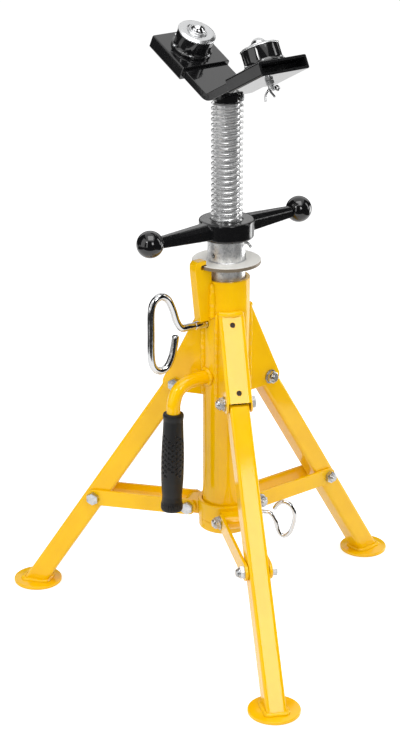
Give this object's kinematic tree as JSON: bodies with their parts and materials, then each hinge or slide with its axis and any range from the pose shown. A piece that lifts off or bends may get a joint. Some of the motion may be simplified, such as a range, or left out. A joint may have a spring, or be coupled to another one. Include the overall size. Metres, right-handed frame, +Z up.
{
  "type": "folding pipe jack stand",
  "caption": "Folding tripod stand with a pinned telescopic mast, a jack screw turned by a two-arm handle nut, and a swivelling V head with ball transfer rollers for supporting pipe.",
  "frame": {"origin": "middle of the footprint's box on the floor", "axes": "+Z up along the column; the front leg points to -Y, a little to +X"},
  "size_m": [0.5267, 0.5182, 0.7873],
  "materials": {
    "yellow_paint": "glossy yellow powder coat",
    "galvanised": "mottled galvanised",
    "zinc": "bright zinc plate",
    "chrome": "polished",
    "black_paint": "glossy black paint",
    "black_cast": "black paint over a sand casting",
    "black_knob": "glossy moulded ball",
    "black_rubber": "matt moulded rubber"
  },
  "bodies": {
    "root": {"column_tube": "yellow_paint", "stop_ring": "yellow_paint", "lock_hook": "yellow_paint", "carry_handle": "yellow_paint", "handle_grip": "black_rubber", "leg_bracket_front": "yellow_paint", "leg_pivot_bolt_front": "zinc", "leg_pivot_nut_front": "zinc", "leg_bracket_right": "yellow_paint", "leg_pivot_bolt_right": "zinc", "leg_pivot_nut_right": "zinc", "leg_bracket_left": "yellow_paint", "leg_pivot_bolt_left": "zinc", "leg_pivot_nut_left": "zinc"},
    "leg_front": {"leg_tube_front": "yellow_paint", "foot_plate_front": "yellow_paint"},
    "leg_right": {"leg_tube_right": "yellow_paint", "foot_plate_right": "yellow_paint"},
    "leg_left": {"leg_tube_left": "yellow_paint", "foot_plate_left": "yellow_paint"},
    "collar": {"collar": "yellow_paint", "collar_bolt_front": "zinc", "collar_nut_front": "zinc", "collar_bolt_right": "zinc", "collar_nut_right": "zinc", "collar_bolt_left": "zinc", "collar_nut_left": "zinc"},
    "brace_front": {"strap_front_a": "yellow_paint", "strap_front_b": "yellow_paint", "brace_bolt_head_front": "zinc", "brace_bolt_nut_front": "zinc"},
    "brace_right": {"strap_right_a": "yellow_paint", "strap_right_b": "yellow_paint", "brace_bolt_head_right": "zinc", "brace_bolt_nut_right": "zinc"},
    "brace_left": {"strap_left_a": "yellow_paint", "strap_left_b": "yellow_paint", "brace_bolt_head_left": "zinc", "brace_bolt_nut_left": "zinc"},
    "leg_lock_pin": {"leg_lock_pin": "chrome"},
    "height_pin": {"height_pin": "chrome"},
    "mast": {"mast_tube": "galvanised", "flange_disc": "galvanised", "thrust_washer": "zinc"},
    "handle": {"handle_nut": "black_cast", "knob_right": "black_knob", "knob_left": "black_knob"},
    "screw": {"jack_screw": "zinc"},
    "head": {"vee_channel": "black_paint", "head_spigot": "black_paint", "carrier_right": "black_paint", "ball_housing_right": "black_paint", "ball_cap_right": "chrome", "ball_stud_right": "zinc", "carrier_left": "black_paint", "ball_housing_left": "black_paint", "ball_cap_left": "chrome", "ball_stud_left": "zinc"},
    "ball_right": {"ball_right": "chrome"},
    "ball_left": {"ball_left": "chrome"}
  },
  "joints": [
    {"name": "leg_front_fold", "type": "hinge", "parent": "root", "child": "leg_front", "pos_m": [0.04511, -0.02244, 0.326], "axis": [0.9744, 0.225, 0], "range_deg": [0, 26]},
    {"name": "leg_right_fold", "type": "hinge", "parent": "root", "child": "leg_right", "pos_m": [0.07752, 0.08357, 0.326], "axis": [-0.682, 0.7314, 0], "range_deg": [0, 26]},
    {"name": "leg_left_fold", "type": "hinge", "parent": "root", "child": "leg_left", "pos_m": [-0.03049, 0.05863, 0.326], "axis": [-0.2924, -0.9563, 0], "range_deg": [0, 26]},
    {"name": "collar_slide", "type": "slide", "parent": "root", "child": "collar", "axis": [0, 0, 1], "range_m": [0, 0.0883]},
    {"name": "brace_front_fold", "type": "hinge", "parent": "collar", "child": "brace_front", "pos_m": [0.04129, -0.00588, 0.152], "axis": [0.9744, 0.225, 0], "range_deg": [0, 69]},
    {"name": "brace_right_fold", "type": "hinge", "parent": "collar", "child": "brace_right", "pos_m": [0.06509, 0.07197, 0.152], "axis": [-0.682, 0.7314, 0], "range_deg": [0, 69]},
    {"name": "brace_left_fold", "type": "hinge", "parent": "collar", "child": "brace_left", "pos_m": [-0.01423, 0.05366, 0.152], "axis": [-0.2924, -0.9563, 0], "range_deg": [0, 69]},
    {"name": "leg_lock_pin_pull", "type": "slide", "parent": "collar", "child": "leg_lock_pin", "axis": [0.9563, -0.2924, 0], "range_m": [-0.0045, 0.012]},
    {"name": "height_pin_pull", "type": "slide", "parent": "root", "child": "height_pin", "axis": [-0.848, -0.5299, 0], "range_m": [-0.0038, 0.02]},
    {"name": "mast_slide", "type": "slide", "parent": "root", "child": "mast", "axis": [0, 0, 1], "range_m": [0, 0.225]},
    {"name": "handle_turn", "type": "hinge", "parent": "mast", "child": "handle", "pos_m": [0.03071, 0.03992, 0.5386], "axis": [0, 0, 1], "range_deg": [-720, 6480]},
    {"name": "screw_travel", "type": "slide", "parent": "mast", "child": "screw", "axis": [0, 0, 1], "range_m": [-0.1262, 0.0142]},
    {"name": "head_swivel", "type": "hinge", "parent": "screw", "child": "head", "pos_m": [0.03071, 0.03992, 0.7], "axis": [0, 0, 1], "continuous": true},
    {"name": "ball_right_roll", "type": "hinge", "parent": "head", "child": "ball_right", "pos_m": [0.06798, -0.00496, 0.77747], "axis": [0.7694, 0.6388, 0], "continuous": true},
    {"name": "ball_left_roll", "type": "hinge", "parent": "head", "child": "ball_left", "pos_m": [-0.00655, 0.0848, 0.77747], "axis": [0.7694, 0.6388, 0], "continuous": true}
  ],
  "couplings": [
    {"joint": "leg_right_fold", "follows": "leg_front_fold", "ratio": 1},
    {"joint": "leg_left_fold", "follows": "leg_front_fold", "ratio": 1},
    {"joint": "collar_slide", "follows": "leg_front_fold", "m_per_rad": 0.1944},
    {"joint": "brace_front_fold", "follows": "leg_front_fold", "ratio": 2.6477},
    {"joint": "brace_right_fold", "follows": "leg_front_fold", "ratio": 2.6477},
    {"joint": "brace_left_fold", "follows": "leg_front_fold", "ratio": 2.6477},
    {"joint": "screw_travel", "follows": "handle_turn", "m_per_rad": -0.0011141}
  ]
}
